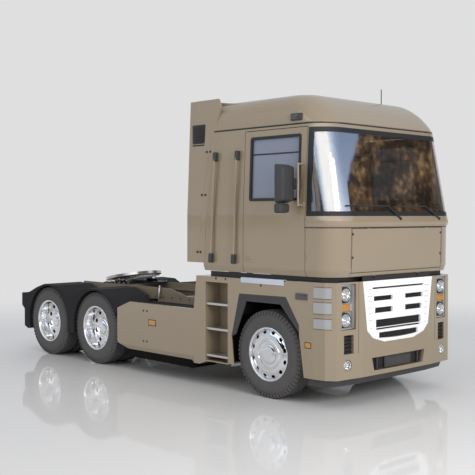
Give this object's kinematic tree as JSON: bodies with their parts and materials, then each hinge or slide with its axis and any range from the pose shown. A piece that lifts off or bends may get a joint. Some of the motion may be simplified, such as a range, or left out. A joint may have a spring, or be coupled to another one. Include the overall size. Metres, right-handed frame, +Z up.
{
  "type": "semi truck tractor unit",
  "caption": "Cab-over road tractor with tilting sleeper cab, steered front axle, tandem driven axles on twin wheels and a pivoting fifth wheel that carries a semi-trailer.",
  "frame": {"origin": "on the ground under the middle of the outline", "axes": "+X forward, +Y to the vehicle's left, +Z up"},
  "size_m": [6.946, 3.08, 3.95],
  "materials": {
    "body_paint": "satin tan paint",
    "frame_paint": "matt beige paint",
    "dark_plastic": "dark grey moulded plastic",
    "black_metal": "black paint",
    "bright_metal": "bright ribbed tread plate",
    "chrome": "polished chrome",
    "steel": "greased machined steel",
    "iron": "painted casting",
    "tyre": "black rubber",
    "glass": "tinted glass",
    "lens": "moulded lens",
    "red_lens": "red lens",
    "trim": "grained interior plastic",
    "fabric": "woven cloth"
  },
  "bodies": {
    "chassis": {"frame_rails": "frame_paint", "tail_member": "frame_paint", "engine_block": "iron", "gearbox": "iron", "front_axle": "black_metal", "rear_axles": "black_metal", "rear_suspension": "black_metal", "front_module": "body_paint", "grille_panel": "chrome", "grille_mesh": "dark_plastic", "lamp_housings": "chrome", "lamp_lenses": "lens", "front_arches": "dark_plastic", "step_boxes": "body_paint", "step_treads": "bright_metal", "side_skirts": "body_paint", "side_tanks": "black_metal", "rear_deck": "dark_plastic", "rear_fenders": "dark_plastic", "tail_lamps": "red_lens", "air_tanks": "black_metal", "fifth_wheel_base": "black_metal", "cab_supports": "black_metal"},
    "fifth_wheel": {"fifth_wheel_plate": "steel"},
    "cab": {"cab_shell": "body_paint", "windscreen": "glass", "cab_roof": "body_paint", "wind_deflectors": "body_paint", "grab_rails": "body_paint", "wipers": "dark_plastic", "dashboard": "trim", "steering_wheel": "trim", "seats": "fabric", "bunk": "fabric", "antenna": "dark_plastic"},
    "front_flap": {"cab_front_flap": "body_paint"},
    "door_right": {"door_right": "body_paint", "door_glass_right": "glass", "mirrors_right": "dark_plastic"},
    "knuckle_right": {"knuckle_right": "iron"},
    "front_wheel_right": {"front_tyre_right": "tyre", "front_rim_right": "chrome"},
    "middle_wheels_right": {"middle_tyres_right": "tyre", "middle_rims_right": "chrome"},
    "rear_wheels_right": {"rear_tyres_right": "tyre", "rear_rims_right": "chrome"},
    "door_left": {"door_left": "body_paint", "door_glass_left": "glass", "mirrors_left": "dark_plastic"},
    "knuckle_left": {"knuckle_left": "iron"},
    "front_wheel_left": {"front_tyre_left": "tyre", "front_rim_left": "chrome"},
    "middle_wheels_left": {"middle_tyres_left": "tyre", "middle_rims_left": "chrome"},
    "rear_wheels_left": {"rear_tyres_left": "tyre", "rear_rims_left": "chrome"}
  },
  "joints": [
    {"name": "cab_tilt", "type": "hinge", "parent": "chassis", "child": "cab", "pos_m": [3.402, 0, 1.526], "axis": [0, 1, 0], "range_deg": [0, 60]},
    {"name": "front_flap_hinge", "type": "hinge", "parent": "cab", "child": "front_flap", "pos_m": [3.424, 0, 2.13], "axis": [0, -1, 0], "range_deg": [0, 80]},
    {"name": "fifth_wheel_pitch", "type": "hinge", "parent": "chassis", "child": "fifth_wheel", "pos_m": [-1.923, 0, 1.22], "axis": [0, 1, 0], "range_deg": [0, 20]},
    {"name": "door_right_hinge", "type": "hinge", "parent": "cab", "child": "door_right", "pos_m": [2.992, -1.24, 1.985], "axis": [0, 0, 1], "range_deg": [0, 65]},
    {"name": "steer_right", "type": "hinge", "parent": "chassis", "child": "knuckle_right", "pos_m": [2.337, -0.88, 0.55], "axis": [0, 0, 1], "range_deg": [-38, 38]},
    {"name": "front_wheel_right_spin", "type": "hinge", "parent": "knuckle_right", "child": "front_wheel_right", "pos_m": [2.337, -1.071, 0.55], "axis": [0, 1, 0], "continuous": true},
    {"name": "middle_wheels_right_spin", "type": "hinge", "parent": "chassis", "child": "middle_wheels_right", "pos_m": [-1.343, -0.937, 0.55], "axis": [0, 1, 0], "continuous": true},
    {"name": "rear_wheels_right_spin", "type": "hinge", "parent": "chassis", "child": "rear_wheels_right", "pos_m": [-2.663, -0.937, 0.55], "axis": [0, 1, 0], "continuous": true},
    {"name": "door_left_hinge", "type": "hinge", "parent": "cab", "child": "door_left", "pos_m": [2.992, 1.24, 1.985], "axis": [0, 0, -1], "range_deg": [0, 65]},
    {"name": "steer_left", "type": "hinge", "parent": "chassis", "child": "knuckle_left", "pos_m": [2.337, 0.88, 0.55], "axis": [0, 0, 1], "range_deg": [-38, 38]},
    {"name": "front_wheel_left_spin", "type": "hinge", "parent": "knuckle_left", "child": "front_wheel_left", "pos_m": [2.337, 1.071, 0.55], "axis": [0, 1, 0], "continuous": true},
    {"name": "middle_wheels_left_spin", "type": "hinge", "parent": "chassis", "child": "middle_wheels_left", "pos_m": [-1.343, 0.937, 0.55], "axis": [0, 1, 0], "continuous": true},
    {"name": "rear_wheels_left_spin", "type": "hinge", "parent": "chassis", "child": "rear_wheels_left", "pos_m": [-2.663, 0.937, 0.55], "axis": [0, 1, 0], "continuous": true}
  ],
  "couplings": [
    {"joint": "steer_left", "follows": "steer_right", "ratio": 1}
  ]
}
